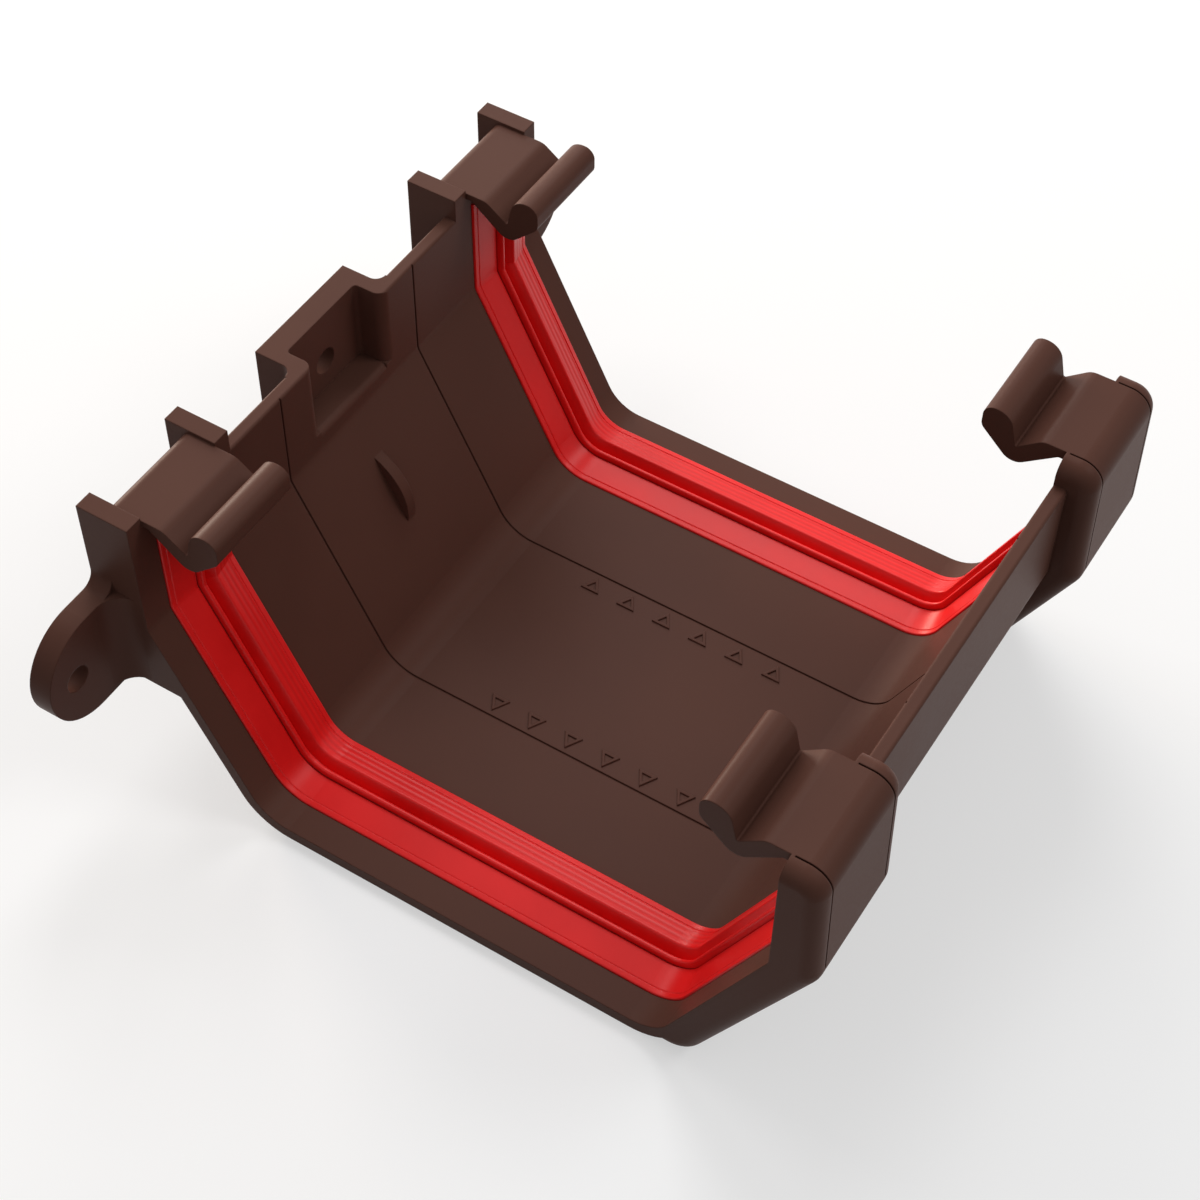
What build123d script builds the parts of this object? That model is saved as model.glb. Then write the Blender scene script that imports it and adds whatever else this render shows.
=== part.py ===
from build123d import *
from math import atan2, cos, hypot, radians, sin, tan
import os

# Gutter union bracket: one moulded trough with four snap clips and two seals.
# X runs along the gutter, +Y points at the fascia board, Z is up, in millimetres.
# The origin is under the middle of the overall box, on the flat underside.

# Trough section
run_length = 116.8
wall = 2.5
inner_width = 116.7
wall_top = 61.7
kink_height = 41.4
rear_slope_run = 19.3
front_slope_run = 18.4
floor_radius = 8.0
kink_radius = 3.0
rim_round = 0.5

# Standing off the fascia, and the front columns' thickness
rear_standoff = 10.2
front_proud = 7.7

# Clip bays: each has an outer plate, the clip band and an inner plate
plate = 3.4
band_width = 18.9
plate_top = 66.2
slit = 0.3
slit_depth = 0.8

# Snap clip section, measured inwards from the upright's inner face
ridge_in = 4.2
ridge_round = 2.8
valley_in = 8.7
lip_rear_in = 10.2
lip_tip_in = 15.1
clip_under = 64.3
valley_top = 62.4
valley_under_in = 8.8
valley_under = 58.2
lip_top = 68.9
lip_under = 64.2
valley_round = 0.3
under_round = 2.8
tip_round = 2.1
rear_band_back = 6.6
rear_band_step = 0.6
rear_band_drop = 14.0

# Front columns
column_step = 4.8
foot_step = 3.9
column_draft = 0.8
column_top_round = 4.2
column_edge_round = 2.9

# Rear ribs and side lugs
rib_bottom = 26.6
lug_thickness = 4.3
lug_bottom = 26.3
lug_top = 48.1
lug_reach = 18.2
lug_root_round = 2.6
lug_blend = 4.5
lug_hole = 5.0
lug_hole_margin = 6.6

# Fascia box in the middle of the rear wall
box_width = 25.2
box_side = 2.8
box_back = 4.5
box_bottom = 42.7
pocket_floor = 45.2
box_round = 2.0
pocket_round = 0.8
sill_round = 1.2
box_hole = 5.0
box_hole_height = 51.3

# Nib on the rear slope, and the two insertion lines
nib_top = 33.1
nib_bottom = 19.9
nib_width = 2.2
nib_height = 2.4
line_offset = 19.2
line_width = 0.4
line_depth = 0.25

# Seals, the section is drawn from their -X edge
seal_width = 14.9
seal_inset = 5.9
seat_depth = 0.6
seal_clearance = 0.1
flange_edge = 0.8
flange_width = 6.1
flange_thickness = 1.6
bead_width = 0.9
bead_height = 2.8
bead_foot = 0.3
groove_width = 0.8
groove_floor = 1.1
lip_height = 3.4
lip_lean = 1.2
lip_fall = 1.3
lip_tail = 1.3
edge_line = 1.1
line_notch = 0.15
edge_round = 0.3
crown_round = 0.4

# Derived places
depth = rear_standoff + inner_width + front_proud
fascia_y = depth / 2
rear_y = fascia_y - rear_standoff
front_y = rear_y - inner_width
end_x = run_length / 2
band_x1 = end_x - plate
band_x0 = band_x1 - band_width
bay_x0 = band_x0 - plate
seal_x1 = end_x - seal_inset
seal_x0 = seal_x1 - seal_width


def outline(corners):
    """Closed edges through (u, v, radius) corners, each rounded by a tangent arc."""
    edges = []
    ends = []
    n = len(corners)
    for i in range(n):
        u, v, r = corners[i]
        ua, va, _ = corners[i - 1]
        ub, vb, _ = corners[(i + 1) % n]
        a = atan2(va - v, ua - u)
        b = atan2(vb - v, ub - u)
        half = abs((a - b + radians(180)) % radians(360) - radians(180)) / 2
        if r == 0:
            ends.append(((u, v), None, (u, v)))
            continue
        run = r / tan(half)
        p = (u + run * cos(a), v + run * sin(a))
        q = (u + run * cos(b), v + run * sin(b))
        mu, mv = (p[0] + q[0]) / 2 - u, (p[1] + q[1]) / 2 - v
        reach = (r / sin(half) - r) / hypot(mu, mv)
        ends.append((p, (u + mu * reach, v + mv * reach), q))
    for i in range(n):
        p, mid, q = ends[i]
        if mid is not None:
            edges.append(ThreePointArc(p, mid, q))
        start = ends[(i + 1) % n][0]
        if hypot(start[0] - q[0], start[1] - q[1]) > 1e-6:
            edges.append(Line(q, start))
    return edges


def rounded(corners):
    """Face on the YZ plane inside the outline of (y, z, radius) corners."""
    return Plane.YZ * make_face(outline(corners))


def slab(face, x0, x1):
    """Extrude a YZ face from x0 to x1."""
    return extrude(Pos(x0, 0, 0) * face, amount=x1 - x0, dir=(1, 0, 0))


def slope_y(front, z, offset=0.0):
    """Y of a sloping wall's inner surface at height z, moved outwards by offset."""
    run = front_slope_run if front else rear_slope_run
    lean = run / (kink_height - wall)
    base = (rear_y - run) if not front else (front_y + run)
    out = (z - wall) * lean + offset * hypot(1, lean)
    return base - out if front else base + out


def channel(offset, top):
    """Corners of the trough's inner section moved outwards by offset, rear top first."""
    floor_z = wall - offset
    rear_lean = rear_slope_run / (kink_height - wall)
    front_lean = front_slope_run / (kink_height - wall)
    rear_kink = kink_height + (offset - offset * hypot(1, rear_lean)) / rear_lean
    front_kink = kink_height + (offset - offset * hypot(1, front_lean)) / front_lean
    return [
        (rear_y + offset, top, 0),
        (rear_y + offset, rear_kink, kink_radius + offset),
        (slope_y(False, floor_z, offset), floor_z, floor_radius + offset),
        (slope_y(True, floor_z, offset), floor_z, floor_radius + offset),
        (front_y - offset, front_kink, kink_radius + offset),
        (front_y - offset, top, 0),
    ]


def lining(inner, outer, top):
    """YZ face between two offsets of the trough section."""
    return rounded(channel(inner, top) + channel(outer, top)[::-1])


def trough():
    body = slab(lining(0, wall, wall_top), -end_x, end_x)
    rims = body.edges().filter_by(Axis.X).filter_by_position(Axis.Z, wall_top - 0.01, wall_top + 0.01)
    return fillet(rims, rim_round)


def clip_corners(out, bottom, top, outer_round):
    """Snap clip section as (inward, z, radius), with its outer face at -out."""
    return [
        (-out, bottom, 0),
        (-out, top, outer_round),
        (ridge_in, top, ridge_round),
        (valley_in, valley_top, valley_round),
        (lip_rear_in, lip_top, 3.2),
        (lip_tip_in, lip_top, tip_round),
        (lip_tip_in, lip_under, tip_round),
        (valley_under_in, valley_under, under_round),
        (1.2, clip_under, 0.8),
        (0, clip_under, 0),
        (0, bottom, 0),
    ]


def column():
    """Front column with its plates, band and snap clip, at the +X end."""
    outer = front_y - front_proud
    top_out = outer + column_draft
    low = slope_y(True, 0, wall + foot_step)
    kink = kink_height
    lean = front_slope_run / (kink_height - wall)
    kink += (front_proud - (wall + column_step) * hypot(1, lean)) / lean
    block = slab(rounded([
        (front_y, plate_top, 0),
        (front_y, kink_height, 0),
        (slope_y(True, wall), wall, 0),
        (slope_y(True, 0, wall) + floor_radius, 0, 0),
        (low, 0, 6.0),
        (outer, kink, 5.0),
        (top_out, plate_top, column_top_round),
    ]), bay_x0, end_x)
    faces = block.faces().filter_by(Axis.X)
    edges = [
        e for f in faces for e in f.edges()
        if e.center().Y < front_y - 1 and e.center().Z > kink - 2 and e.center().Z > 1
    ]
    block = fillet(edges, column_edge_round)
    proud = front_proud - column_draft - slit_depth
    corners = clip_corners(proud, plate_top - 8, plate_top, column_top_round - slit_depth)
    clip = slab(rounded([(front_y + u, z, r) for u, z, r in corners]), band_x0, band_x1)
    block = block + clip
    ring = slab(rounded([
        (outer - 1, kink + 1, 0),
        (outer - 1, plate_top + 1, 0),
        (front_y - 0.6, plate_top + 1, 0),
        (front_y - 0.6, plate_top - slit_depth, 0),
        (top_out + slit_depth, plate_top - slit_depth, column_top_round - slit_depth),
        (outer + slit_depth, kink + 4, 0),
        (outer, kink + 1, 0),
    ]), 0, slit)
    for x in (band_x0 - slit / 2, band_x1 - slit / 2):
        block -= Pos(x, 0, 0) * ring
    return block


def rear_bay():
    """Two rear ribs with the snap clip between them, at the +X end."""
    rib = rounded([
        (rear_y, plate_top, 0),
        (fascia_y, plate_top, 0),
        (fascia_y, rib_bottom, 0),
        (slope_y(False, rib_bottom, wall / 2), rib_bottom, 0),
        (rear_y + wall / 2, kink_height, 0),
        (rear_y, kink_height + 4, 0),
    ])
    bay = slab(rib, bay_x0, band_x0) + slab(rib, band_x1, end_x)
    bottom = plate_top - rear_band_drop
    corners = clip_corners(rear_band_back, bottom, plate_top - rear_band_step, 1.8)
    section = [(rear_y - u, z, r) for u, z, r in corners]
    section[0] = (rear_y + wall, bottom - 4, 0)
    section.insert(1, (rear_y + rear_band_back, bottom + 4, 2.0))
    return bay + slab(rounded(section), band_x0, band_x1)


def lug():
    """Side lug in the fascia plane with its screw hole, at the +X end."""
    half = (lug_top - lug_bottom) / 2
    mid = (lug_top + lug_bottom) / 2
    tip = end_x + lug_reach
    y0 = fascia_y - lug_thickness
    plane = Plane(origin=(0, fascia_y, 0), x_dir=(1, 0, 0), z_dir=(0, -1, 0))
    root = end_x - plate / 2
    r = lug_root_round
    d = r * (1 - cos(radians(45)))
    shape = make_face([
        Line((root, lug_bottom), (tip - half, lug_bottom)),
        ThreePointArc((tip - half, lug_bottom), (tip, mid), (tip - half, lug_top)),
        Line((tip - half, lug_top), (end_x + r, lug_top)),
        ThreePointArc((end_x + r, lug_top), (end_x + d, lug_top + d), (end_x, lug_top + r)),
        Line((end_x, lug_top + r), (root, lug_top + r)),
        Line((root, lug_top + r), (root, lug_bottom)),
    ])
    plate_solid = extrude(plane * shape, amount=lug_thickness)
    b = lug_blend
    c = b * (1 - cos(radians(45)))
    blend = make_face([
        Line((root, y0 - b), (end_x, y0 - b)),
        ThreePointArc((end_x, y0 - b), (end_x + c, y0 - c), (end_x + b, y0)),
        Line((end_x + b, y0), (root, y0)),
        Line((root, y0), (root, y0 - b)),
    ])
    web = extrude(Pos(0, 0, lug_bottom + 0.8) * blend, amount=lug_top - lug_bottom - 0.8)
    hole = Pos(tip - lug_hole_margin, fascia_y, mid) * Rot(90, 0, 0) * Cylinder(lug_hole / 2, 30)
    return plate_solid + web - hole


def fascia_box():
    """Solid block of the fascia box, from the rear wall to the fascia plane."""
    w = box_width / 2
    y0 = rear_y + wall
    r = box_round
    c = r * (1 - cos(radians(45)))
    shape = make_face([
        Line((-w - r, y0 - wall / 2), (w + r, y0 - wall / 2)),
        Line((w + r, y0 - wall / 2), (w + r, y0)),
        ThreePointArc((w + r, y0), (w + c, y0 + c), (w, y0 + r)),
        Line((w, y0 + r), (w, fascia_y)),
        Line((w, fascia_y), (-w, fascia_y)),
        Line((-w, fascia_y), (-w, y0 + r)),
        ThreePointArc((-w, y0 + r), (-w - c, y0 + c), (-w - r, y0)),
        Line((-w - r, y0), (-w - r, y0 - wall / 2)),
    ])
    return extrude(Pos(0, 0, box_bottom) * shape, amount=wall_top - box_bottom)


def pocket():
    """What is cut out of the fascia box: the open pocket and its screw hole."""
    w = box_width / 2 - box_side
    back = fascia_y - box_back
    r = box_round
    c = r * (1 - cos(radians(45)))
    y0 = rear_y
    q = pocket_round
    d = q * (1 - cos(radians(45)))
    shape = make_face([
        Line((-w - r, y0 - 1), (w + r, y0 - 1)),
        Line((w + r, y0 - 1), (w + r, y0)),
        ThreePointArc((w + r, y0), (w + c, y0 + c), (w, y0 + r)),
        Line((w, y0 + r), (w, back - q)),
        ThreePointArc((w, back - q), (w - d, back - d), (w - q, back)),
        Line((w - q, back), (q - w, back)),
        ThreePointArc((q - w, back), (d - w, back - d), (-w, back - q)),
        Line((-w, back - q), (-w, y0 + r)),
        ThreePointArc((-w, y0 + r), (-w - c, y0 + c), (-w - r, y0)),
        Line((-w - r, y0), (-w - r, y0 - 1)),
    ])
    hollow = extrude(Pos(0, 0, pocket_floor) * shape, amount=wall_top - pocket_floor + 1)
    e = sill_round
    f = e * (1 - cos(radians(45)))
    nose = make_face([
        ThreePointArc((y0, pocket_floor - e), (y0 + f, pocket_floor - f), (y0 + e, pocket_floor)),
        Line((y0 + e, pocket_floor), (y0 + e, pocket_floor + 1)),
        Line((y0 + e, pocket_floor + 1), (y0 - 1, pocket_floor + 1)),
        Line((y0 - 1, pocket_floor + 1), (y0 - 1, pocket_floor - e)),
        Line((y0 - 1, pocket_floor - e), (y0, pocket_floor - e)),
    ])
    hollow += slab(Plane.YZ * nose, -w, w)
    hole = Pos(0, fascia_y, box_hole_height) * Rot(90, 0, 0) * Cylinder(box_hole / 2, 3 * box_back)
    return hollow + hole


def nib():
    """Lens-shaped nib standing on the rear slope in the middle of the run."""
    z0, z1 = nib_bottom, nib_top
    y_low = slope_y(False, z0)
    y_high = slope_y(False, z1)
    length = hypot(y_high - y_low, z1 - z0)
    normal = ((z1 - z0) / length, (y_high - y_low) / length)
    mid = ((y_low + y_high) / 2 - normal[0] * nib_height, (z0 + z1) / 2 + normal[1] * nib_height)
    sunk = wall / 2
    fin = make_face([
        ThreePointArc((y_low, z0), mid, (y_high, z1)),
        Line((y_high, z1), (y_high + sunk, z1)),
        Line((y_high + sunk, z1), (y_low + sunk, z0)),
        Line((y_low + sunk, z0), (y_low, z0)),
    ])
    return extrude(Plane.YZ * fin, amount=nib_width / 2, both=True)


def seal_section():
    """Seal section as (along, height, radius) corners, from its -X edge and its seat."""
    right = seal_width - 2 * seal_clearance
    bead_x = flange_width
    groove_x = bead_x + bead_width
    block_x = groove_x + groove_width
    crown_x = block_x + lip_lean
    tail_x = right - lip_tail
    rise = (flange_thickness - flange_edge) / flange_width
    fall = lip_fall / (right - crown_x)
    rim = flange_edge + rise * edge_line
    tail = lip_height - fall * (tail_x - crown_x)
    return [
        (0, 0, 0),
        (0, flange_edge, edge_round),
        (edge_line - line_notch, rim, 0),
        (edge_line, rim - line_notch, 0),
        (edge_line + line_notch, rim, 0),
        (bead_x - bead_foot, flange_thickness, 0),
        (bead_x, flange_thickness - bead_foot, 0),
        (bead_x, bead_height, crown_round),
        (groove_x, bead_height, crown_round),
        (groove_x, groove_floor, 0),
        (block_x, groove_floor, 0),
        (crown_x, lip_height, crown_round),
        (tail_x - line_notch, tail, 0),
        (tail_x, tail - line_notch, 0),
        (tail_x + line_notch, tail, 0),
        (right, lip_height - lip_fall, edge_round),
        (right, 0, 0),
    ]


def seal(x_start):
    """Seal that lines the trough from rear top to front top, its -X edge at x_start."""
    seat = seat_depth - seal_clearance
    pts = channel(seat, wall_top)
    path = FilletPolyline(*[(0, p[0], p[1]) for p in pts], radius=[p[2] for p in pts[1:-1]])
    plane = Plane(origin=(x_start, pts[0][0], wall_top), x_dir=(1, 0, 0), z_dir=(0, 0, -1))
    section = plane * make_face(outline(seal_section()))
    return sweep(section, path=Pos(x_start, 0, 0) * path, transition=Transition.ROUND)


def bracket_body():
    body = trough() + fascia_box() + nib()
    bays = [column(), rear_bay(), lug()]
    for piece in bays:
        body = body + piece + mirror(piece, about=Plane.YZ)
    body -= pocket()
    line = slab(lining(-1, line_depth, wall_top + 1), -line_width / 2, line_width / 2)
    seat = slab(lining(-1, seat_depth, wall_top + 0.2), 0, seal_width)
    for x in (-line_offset, line_offset):
        body -= Pos(x, 0, 0) * line
    for x in (-seal_x1, seal_x0):
        body -= Pos(x, 0, 0) * seat
    return body


os.makedirs("parts", exist_ok=True)
pieces = {
    "bracket_body": bracket_body(),
    "left_seal": seal(-seal_x1 + seal_clearance),
    "right_seal": seal(seal_x0 + seal_clearance),
}
for name, shape in pieces.items():
    export_step(shape, f"parts/{name}.step")
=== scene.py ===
"""Looks for the gutter union bracket: moulded brown body, red seals, plain studio.

Everything is in metres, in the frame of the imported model.
"""
import logging
import math
from dataclasses import dataclass, field
from enum import Enum
from typing import Any

import bpy
from mathutils import Matrix, Vector


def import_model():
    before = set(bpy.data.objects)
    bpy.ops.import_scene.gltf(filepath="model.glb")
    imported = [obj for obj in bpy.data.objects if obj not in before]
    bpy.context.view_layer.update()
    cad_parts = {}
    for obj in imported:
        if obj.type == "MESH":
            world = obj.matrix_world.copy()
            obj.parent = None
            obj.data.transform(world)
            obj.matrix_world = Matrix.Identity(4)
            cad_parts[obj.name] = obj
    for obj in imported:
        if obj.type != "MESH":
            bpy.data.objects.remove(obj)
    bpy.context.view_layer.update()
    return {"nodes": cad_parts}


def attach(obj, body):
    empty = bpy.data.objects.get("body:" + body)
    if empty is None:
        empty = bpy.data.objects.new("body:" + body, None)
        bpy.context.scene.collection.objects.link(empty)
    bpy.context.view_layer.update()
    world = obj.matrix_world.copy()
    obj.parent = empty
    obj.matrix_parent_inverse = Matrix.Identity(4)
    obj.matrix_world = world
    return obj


logging.basicConfig(level=logging.INFO, format="%(name)s: %(message)s")
LOG = logging.getLogger("gutter_bracket")

MM = 0.001
Colour = tuple[float, float, float]
Spot = tuple[float, float, float]
WHITE: Colour = (1.0, 1.0, 1.0)

# Sockets that share their names with others, by number
MIX_AMOUNT, MIX_FIRST, MIX_SECOND, MIX_RESULT = 0, 6, 7, 2
RANGE_VALUE, RANGE_LOW, RANGE_HIGH = 0, 1, 2
BLEND_AMOUNT, BLEND_FIRST, BLEND_SECOND = 0, 1, 2

CREASE_SAMPLES = 8
EDGE_SAMPLES = 6


class Shine(Enum):
    """How glossy a finish is, as its mean roughness."""

    SATIN = 0.43
    SOFT = 0.36


class Sock:
    """A node socket, or a number, that Python operators turn into Math nodes."""

    def __init__(self, kit: "ShaderKit", value: Any) -> None:
        """Wrap a value of one material's kit."""
        self.kit = kit
        self.value = value

    def _math(self, kind: str, *values: Any) -> "Sock":
        """Add a Math node of the given kind."""
        return self.kit.add("ShaderNodeMath", {"operation": kind}, dict(enumerate(values)))

    def __add__(self, other: Any) -> "Sock":
        """Sum."""
        return self._math("ADD", self, other)

    __radd__ = __add__

    def __sub__(self, other: Any) -> "Sock":
        """Difference."""
        return self._math("SUBTRACT", self, other)

    def __rsub__(self, other: Any) -> "Sock":
        """Difference the other way round."""
        return self._math("SUBTRACT", other, self)

    def __mul__(self, other: Any) -> "Sock":
        """Product."""
        return self._math("MULTIPLY", self, other)

    __rmul__ = __mul__

    def most(self, other: Any) -> "Sock":
        """The higher of the two."""
        return self._math("MAXIMUM", self, other)

    def wrap(self, span: float) -> "Sock":
        """What is left after whole spans."""
        return self._math("FLOORED_MODULO", self, span)

    def sine(self) -> "Sock":
        """Sine of an angle in radians."""
        return self._math("SINE", self)

    def ramp(self, low: float, high: float) -> "Sock":
        """Rise smoothly from 0 at low to 1 at high.

        Args:
            low: value that gives 0.
            high: value that gives 1.

        Returns:
            The clamped result.
        """
        settings = {"interpolation_type": "SMOOTHSTEP", "clamp": True}
        values = {RANGE_VALUE: self, RANGE_LOW: low, RANGE_HIGH: high}
        return self.kit.add("ShaderNodeMapRange", settings, values)


class ShaderKit:
    """Builds the nodes of one material or world."""

    def __init__(self, owner: bpy.types.Material | bpy.types.World) -> None:
        """Switch the owner's nodes on."""
        self.owner = owner
        self.owner.use_nodes = True
        self.tree = owner.node_tree

    def add(
        self, kind: str, settings: dict[str, Any], values: dict[Any, Any], out: Any = 0
    ) -> Sock:
        """Add a node.

        Args:
            kind: the node's type.
            settings: its properties, set first.
            values: its sockets' values or links, by index or name.
            out: which output is returned.

        Returns:
            The chosen output.
        """
        node = self.tree.nodes.new(kind)
        for key, value in settings.items():
            setattr(node, key, value)
        for key, value in values.items():
            self.put(node.inputs[key], value)
        return Sock(self, node.outputs[out])

    def put(self, socket: Any, value: Any) -> None:
        """Link or set one input socket."""
        if isinstance(value, Sock):
            value = value.value
        if isinstance(value, bpy.types.NodeSocket):
            self.tree.links.new(value, socket)
        elif isinstance(value, tuple) and socket.type == "RGBA":
            socket.default_value = (*value, 1.0)
        else:
            socket.default_value = value

    def place(self) -> Sock:
        """Object coordinates in metres."""
        return self.add("ShaderNodeTexCoord", {}, {}, "Object")

    def noise(self, point: Sock, scale: float, detail: float = 2.0, rough: float = 0.5) -> Sock:
        """Noise in 0 to 1 of the given scale per metre."""
        values = {"Vector": point, "Scale": scale, "Detail": detail, "Roughness": rough}
        return self.add("ShaderNodeTexNoise", {}, values)

    def mix(self, amount: Any, first: Any, second: Any) -> Sock:
        """Blend two colours by amount."""
        settings = {"data_type": "RGBA", "blend_type": "MIX", "clamp_factor": True}
        values = {MIX_AMOUNT: amount, MIX_FIRST: first, MIX_SECOND: second}
        return self.add("ShaderNodeMix", settings, values, MIX_RESULT)

    def blend(self, amount: Any, first: Any, second: Any) -> Sock:
        """Blend two shaders by amount."""
        values = {BLEND_AMOUNT: amount, BLEND_FIRST: first, BLEND_SECOND: second}
        return self.add("ShaderNodeMixShader", {}, values)

    def soften(self, radius: float) -> Sock:
        """Normal of a surface whose edges are rounded by radius metres."""
        return self.add("ShaderNodeBevel", {"samples": EDGE_SAMPLES}, {"Radius": radius})

    def bump(self, height: Sock, depth: float, strength: float, under: Sock) -> Sock:
        """Bump of a height in 0 to 1 that stands for depth metres, over a normal."""
        values = {"Height": height, "Distance": depth, "Strength": strength, "Normal": under}
        return self.add("ShaderNodeBump", {}, values)

    def crease(self, reach: float) -> Sock:
        """How open a spot is, from 0 deep in a crease to 1 on open ground, by ambient
        occlusion; it masks the shade painted into creases.
        """
        settings = {"samples": CREASE_SAMPLES, "only_local": True}
        return self.add("ShaderNodeAmbientOcclusion", settings, {"Distance": reach}, "AO")

    def in_sight(self) -> Sock:
        """Whether the camera sees this directly, in a reflection or through glass."""
        rays = self.add("ShaderNodeLightPath", {}, {}, "Is Camera Ray").value.node.outputs
        through = Sock(self, rays["Is Transmission Ray"])
        mirrored = Sock(self, rays["Is Glossy Ray"]).most(through)
        return Sock(self, rays["Is Camera Ray"]).most(mirrored)

    def finish(self, **sockets: Any) -> bpy.types.Material:
        """Feed the Principled shader's sockets by name and return the material."""
        shader = self.tree.nodes["Principled BSDF"]
        for name, value in sockets.items():
            self.put(shader.inputs[name.replace("_", " ")], value)
        return self.owner


@dataclass(frozen=True)
class MouldedPlastic:
    """Satin brown gutter plastic: faint flow clouds, fine skin, soft edges, and shade painted
    darker into creases.
    """

    base: Colour = (0.106, 0.046, 0.033)
    deep: Colour = (0.093, 0.039, 0.028)
    # Painted shade: the dark colour put into creases, slits and grooves.
    painted_crease_shade: Colour = (0.075, 0.031, 0.022)
    shine: Shine = Shine.SATIN
    gloss: float = 0.06
    index: float = 1.45
    cloud_span: tuple[float, float] = (0.3, 0.7)
    open_span: tuple[float, float] = (0.3, 0.85)
    cloud_scale: float = 22.0
    flow_scale: float = 90.0
    skin_scale: float = 1600.0
    cloud_rough: float = 0.16
    skin_rough: float = 0.08
    crease_rough: float = 0.4
    flow_depth: float = 0.05 * MM
    flow_strength: float = 0.35
    skin_depth: float = 0.02 * MM
    skin_strength: float = 0.5
    edge_round: float = 0.3 * MM
    crease_reach: float = 1.2 * MM

    def build(self) -> bpy.types.Material:
        """Make the material.

        Returns:
            The finished plastic.
        """
        kit = ShaderKit(bpy.data.materials.new("body_plastic"))
        point = kit.place()
        cloud = kit.noise(point, self.cloud_scale, detail=3.0)
        flow = kit.noise(point, self.flow_scale, detail=4.0, rough=0.55)
        skin = kit.noise(point, self.skin_scale, rough=0.6)
        tone = kit.mix(cloud.ramp(*self.cloud_span), self.deep, self.base)
        # Painted shade: ambient occlusion blends the colour towards the dark crease colour in
        # creases, slits and grooves; the same mask also raises roughness there.
        unshaded = kit.crease(self.crease_reach).ramp(*self.open_span)
        colour = kit.mix(unshaded, self.painted_crease_shade, tone)
        soft = kit.soften(self.edge_round)
        grain = kit.bump(skin, self.skin_depth, self.skin_strength, soft)
        waves = kit.bump(flow, self.flow_depth, self.flow_strength, grain)
        rough = self.shine.value + self.cloud_rough * (cloud - 0.5)
        rough = rough + self.skin_rough * (skin - 0.5) + self.crease_rough * (1 - unshaded)
        return kit.finish(
            Base_Color=colour,
            Roughness=rough,
            Normal=waves,
            IOR=self.index,
            Specular_IOR_Level=self.gloss,
        )


@dataclass(frozen=True)
class SealRubber:
    """Smooth red seal rubber with fine ribs along its lip, and shade painted deeper red into
    its creases and into the furrows between the ribs.

    The ribs are placed across the seal, from the -X edge of each of the two equal strips.
    """

    base: Colour = (0.90, 0.015, 0.015)
    deep: Colour = (0.80, 0.010, 0.010)
    # Painted shade: the dark red put into the seal's creases.
    painted_crease_shade: Colour = (0.42, 0.005, 0.005)
    # Painted shade: the darker red put into the furrows between the fine ribs.
    painted_furrow_shade: Colour = (0.74, 0.010, 0.010)
    shine: Shine = Shine.SOFT
    gloss: float = 0.30
    index: float = 1.47
    cloud_span: tuple[float, float] = (0.3, 0.7)
    open_span: tuple[float, float] = (0.1, 0.6)
    cloud_scale: float = 60.0
    skin_scale: float = 2400.0
    cloud_rough: float = 0.10
    skin_rough: float = 0.06
    skin_depth: float = 0.02 * MM
    skin_strength: float = 0.5
    edge_round: float = 0.2 * MM
    crease_reach: float = 1.2 * MM
    outer_end: float = 52.4 * MM
    apart: float = 90.1 * MM
    ribs_from: float = 9.5 * MM
    ribs_to: float = 13.2 * MM
    rib_pitch: float = 1.15 * MM
    rib_fade: float = 0.25 * MM
    rib_depth: float = 0.07 * MM
    rib_strength: float = 0.6

    def ribs(self, kit: ShaderKit, point: Sock) -> Sock:
        """Model the fine ribs along the lip as a height, which also masks the shade painted
        into the furrows.

        Args:
            kit: the rubber's nodes.
            point: object coordinates.

        Returns:
            0 in a furrow, 1 on a rib and everywhere else.
        """
        run = kit.add("ShaderNodeSeparateXYZ", {}, {"Vector": point}, "X")
        across = (run + self.outer_end).wrap(self.apart)
        turn = 2 * math.pi / self.rib_pitch
        wave = 0.5 + 0.5 * ((across - self.ribs_from) * turn).sine()
        begun = across.ramp(self.ribs_from, self.ribs_from + self.rib_fade)
        ended = across.ramp(self.ribs_to - self.rib_fade, self.ribs_to)
        return 1 - (begun - ended) * (1 - wave)

    def build(self) -> bpy.types.Material:
        """Make the material.

        Returns:
            The finished rubber.
        """
        kit = ShaderKit(bpy.data.materials.new("seal_rubber"))
        point = kit.place()
        cloud = kit.noise(point, self.cloud_scale, detail=3.0)
        skin = kit.noise(point, self.skin_scale, rough=0.6)
        tone = kit.mix(cloud.ramp(*self.cloud_span), self.deep, self.base)
        # Painted shade: ambient occlusion blends the colour towards the dark crease red in the
        # seal's creases.
        unshaded = kit.crease(self.crease_reach).ramp(*self.open_span)
        ribs = self.ribs(kit, point)
        # Painted shade: the furrows between the ribs are coloured darker red, besides their
        # bump.
        furrow_shaded = kit.mix(ribs, self.painted_furrow_shade, tone)
        colour = kit.mix(unshaded, self.painted_crease_shade, furrow_shaded)
        soft = kit.soften(self.edge_round)
        combed = kit.bump(ribs, self.rib_depth, self.rib_strength, soft)
        grain = kit.bump(skin, self.skin_depth, self.skin_strength, combed)
        rough = self.shine.value + self.cloud_rough * (cloud - 0.5)
        rough = rough + self.skin_rough * (skin - 0.5)
        return kit.finish(
            Base_Color=colour,
            Roughness=rough,
            Normal=grain,
            IOR=self.index,
            Specular_IOR_Level=self.gloss,
        )


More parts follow.
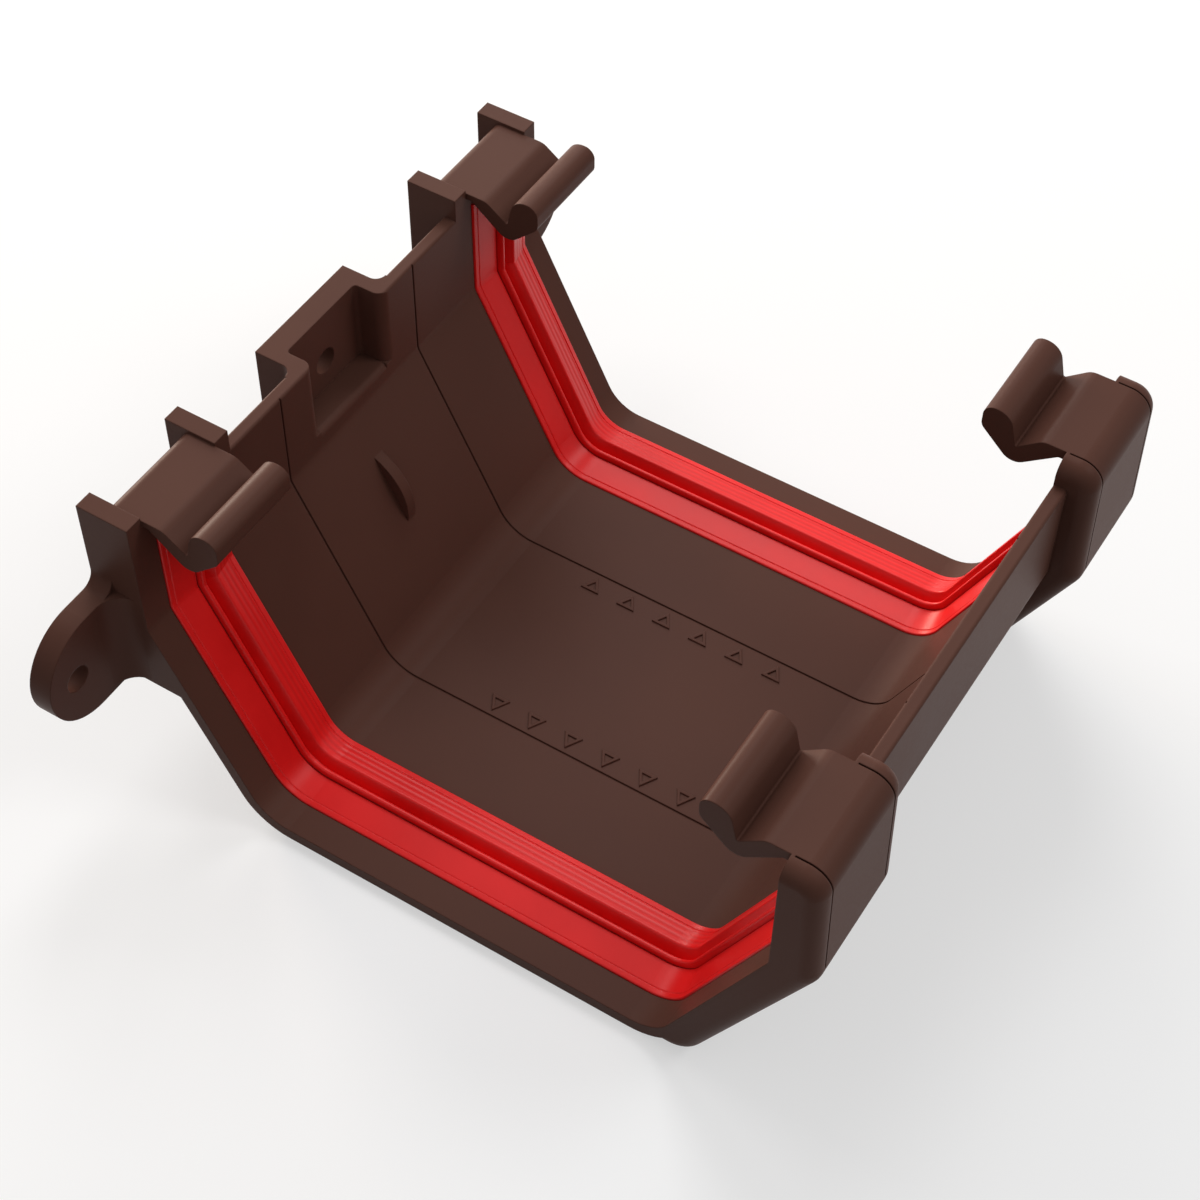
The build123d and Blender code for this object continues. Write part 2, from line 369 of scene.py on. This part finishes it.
@dataclass(frozen=True)
class StudioWhite:
    """Pale ground with the object's shadow, which throws back less light than it shows."""

    seen: Colour = (0.96, 0.96, 0.96)
    thrown: Colour = (0.12, 0.12, 0.12)
    whiten: float = 0.5

    def build(self) -> bpy.types.Material:
        """Make the material.

        Returns:
            The ground's material.
        """
        kit = ShaderKit(bpy.data.materials.new("studio_ground"))
        shaded = kit.add("ShaderNodeBsdfDiffuse", {}, {"Color": self.seen})
        white = kit.add("ShaderNodeEmission", {}, {"Color": WHITE, "Strength": 1.0})
        pale = kit.blend(self.whiten, shaded, white)
        dim = kit.add("ShaderNodeBsdfDiffuse", {}, {"Color": self.thrown})
        both = kit.blend(kit.in_sight(), dim, pale)
        kit.put(kit.tree.nodes["Material Output"].inputs["Surface"], both)
        return kit.owner


@dataclass
class BracketLooks:
    """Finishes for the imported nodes."""

    body: MouldedPlastic = field(default_factory=MouldedPlastic)
    rubber: SealRubber = field(default_factory=SealRubber)
    seals: tuple[str, str] = ("left_seal", "right_seal")

    def dress(self, nodes: dict[str, bpy.types.Object]) -> bpy.types.Material:
        """Give each node its material.

        Args:
            nodes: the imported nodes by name.

        Returns:
            The body's plastic, for the relief that is moulded on it.
        """
        plastic = self.body.build()
        rubber = self.rubber.build()
        for name, node in nodes.items():
            node.data.materials.clear()
            node.data.materials.append(rubber if name in self.seals else plastic)
            LOG.info("dressed %s", name)
        return plastic


@dataclass
class InsertionArrows:
    """Small raised triangles on the trough's floor that point at the insertion lines."""

    base: float = 3.8 * MM
    stroke: float = 0.55 * MM
    rise: float = 0.3 * MM
    sunk: float = 0.05 * MM
    edge: float = 0.06 * MM
    middle_x: float = 16.0 * MM
    floor_z: float = 2.5 * MM
    first_y: float = 17.4 * MM
    last_y: float = -21.4 * MM
    count: int = 6

    def triangle(self) -> bpy.types.Object:
        """Model one hollow triangle at the origin, its tip to +X.

        Returns:
            The triangle.
        """
        bpy.ops.object.select_all(action="DESELECT")
        radius = self.base / math.sqrt(3)
        turn = (0, 0, -math.pi / 2)
        bpy.ops.mesh.primitive_circle_add(
            vertices=3, radius=radius, fill_type="NGON", rotation=turn
        )
        piece = bpy.context.object
        bpy.ops.object.transform_apply(location=True, rotation=True, scale=True)
        bpy.ops.object.mode_set(mode="EDIT")
        bpy.ops.mesh.select_all(action="SELECT")
        bpy.ops.mesh.inset(thickness=self.stroke)
        bpy.ops.mesh.delete(type="FACE")
        bpy.ops.mesh.select_all(action="SELECT")
        lift = {"value": (0, 0, self.rise + self.sunk)}
        bpy.ops.mesh.extrude_region_move(TRANSFORM_OT_translate=lift)
        bpy.ops.mesh.select_all(action="SELECT")
        bpy.ops.mesh.normals_make_consistent(inside=False)
        bpy.ops.object.mode_set(mode="OBJECT")
        rounding = piece.modifiers.new("soft_edge", "BEVEL")
        rounding.width = self.edge
        rounding.segments = 2
        bpy.ops.object.modifier_apply(modifier=rounding.name)
        return piece

    def row(self, pattern: bpy.types.Object, side: int, plastic: bpy.types.Material) -> None:
        """Copy the triangle along one insertion line and join the copies.

        Args:
            pattern: the triangle at the origin, its tip to +X.
            side: 1 for the row at +X, -1 for the row at -X.
            plastic: the finish.
        """
        bpy.ops.object.select_all(action="DESELECT")
        step = (self.last_y - self.first_y) / (self.count - 1)
        turn = Matrix.Rotation((1 - side) * math.pi / 2, 4, "Z")
        for i in range(self.count):
            y = self.first_y + i * step
            place = Vector((side * self.middle_x, y, self.floor_z - self.sunk))
            copy = bpy.data.objects.new("arrow", pattern.data.copy())
            bpy.context.collection.objects.link(copy)
            copy.data.transform(Matrix.Translation(place) @ turn)
            copy.select_set(True)
            bpy.context.view_layer.objects.active = copy
        bpy.ops.object.join()
        row = bpy.context.object
        row.name = "insertion_arrows_right" if side > 0 else "insertion_arrows_left"
        row.data.materials.clear()
        row.data.materials.append(plastic)
        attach(row, "root")
        LOG.info("made %s", row.name)

    def build(self, plastic: bpy.types.Material) -> None:
        """Make both rows."""
        pattern = self.triangle()
        for side in (-1, 1):
            self.row(pattern, side, plastic)
        bpy.data.objects.remove(pattern, do_unlink=True)


@dataclass(frozen=True)
class SoftLamp:
    """A soft square lamp that faces the object."""

    name: str
    place: Spot
    watts: float
    colour: Colour = WHITE
    size: float = 0.35

    def hang(self) -> None:
        """Add the lamp to the scene."""
        data = bpy.data.lights.new(self.name, "AREA")
        data.size = self.size
        data.energy = self.watts
        data.color = self.colour
        lamp = bpy.data.objects.new(self.name, data)
        bpy.context.collection.objects.link(lamp)
        lamp.location = self.place
        lamp.rotation_euler = (-Vector(self.place)).to_track_quat("-Z", "Y").to_euler()


@dataclass
class Studio:
    """Ground, lamps, world and camera; the eye's place is in millimetres."""

    focal_px: float = 2418.39
    frame_px: float = 1200.0
    sensor_mm: float = 36.0
    nearest: float = 0.01
    eye: Spot = (-229.73, -133.39, 352.44)
    right: Spot = (0.52951, -0.84824, 0.01033)
    up: Spot = (0.65420, 0.41608, 0.63159)
    back: Spot = (-0.54003, -0.32768, 0.77524)
    reach: float = 1.4
    floor_drop: float = 0.2 * MM
    daylight: float = 0.34
    lamps: tuple[SoftLamp, ...] = (
        SoftLamp("top_lamp", (0.50, 0.26, 0.80), 2.7),
        SoftLamp("key_lamp", (0.30, -0.52, 0.78), 1.8),
        SoftLamp("high_back_lamp", (0.10, 0.70, 0.75), 1.3),
        SoftLamp("side_back_lamp", (0.75, 0.60, 0.40), 2.1, (1.0, 0.93, 0.86)),
        SoftLamp("low_back_lamp", (0.40, 0.92, 0.18), 7.4, (1.0, 0.84, 0.70)),
    )

    def ground(self) -> None:
        """Lay the floor just under the object."""
        bpy.ops.object.select_all(action="DESELECT")
        spot = (0, 0, -self.floor_drop)
        bpy.ops.mesh.primitive_plane_add(size=2 * self.reach, location=spot)
        floor = bpy.context.object
        floor.name = "studio_floor"
        floor.data.materials.append(StudioWhite().build())

    def world(self) -> None:
        """Even white light, seen as plain white."""
        kit = ShaderKit(bpy.data.worlds.new("studio_world"))
        bpy.context.scene.world = kit.owner
        light = kit.tree.nodes["Background"]
        kit.put(light.inputs["Color"], WHITE)
        kit.put(light.inputs["Strength"], self.daylight)
        white = kit.add("ShaderNodeBackground", {}, {"Color": WHITE, "Strength": 1.0})
        both = kit.blend(kit.in_sight(), light.outputs[0], white)
        kit.put(kit.tree.nodes["World Output"].inputs["Surface"], both)

    def camera(self) -> None:
        """Set the camera where the photograph was seen from."""
        data = bpy.data.cameras.new("photo_camera")
        data.sensor_fit = "HORIZONTAL"
        data.sensor_width = self.sensor_mm
        data.lens = self.focal_px / self.frame_px * self.sensor_mm
        data.clip_start = self.nearest
        view = Matrix((self.right, self.up, self.back)).transposed().to_4x4()
        view.translation = Vector(self.eye) * MM
        camera = bpy.data.objects.new("photo_camera", data)
        bpy.context.collection.objects.link(camera)
        camera.matrix_world = view
        bpy.context.scene.camera = camera

    def build(self) -> None:
        """Set up the whole studio."""
        self.ground()
        self.world()
        for lamp in self.lamps:
            lamp.hang()
        self.camera()
        bpy.context.scene.view_settings.view_transform = "Standard"


def main() -> None:
    """Build the pieces in order."""
    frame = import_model()
    plastic = BracketLooks().dress(frame["nodes"])
    InsertionArrows().build(plastic)
    Studio().build()


if __name__ == "__main__":
    main()
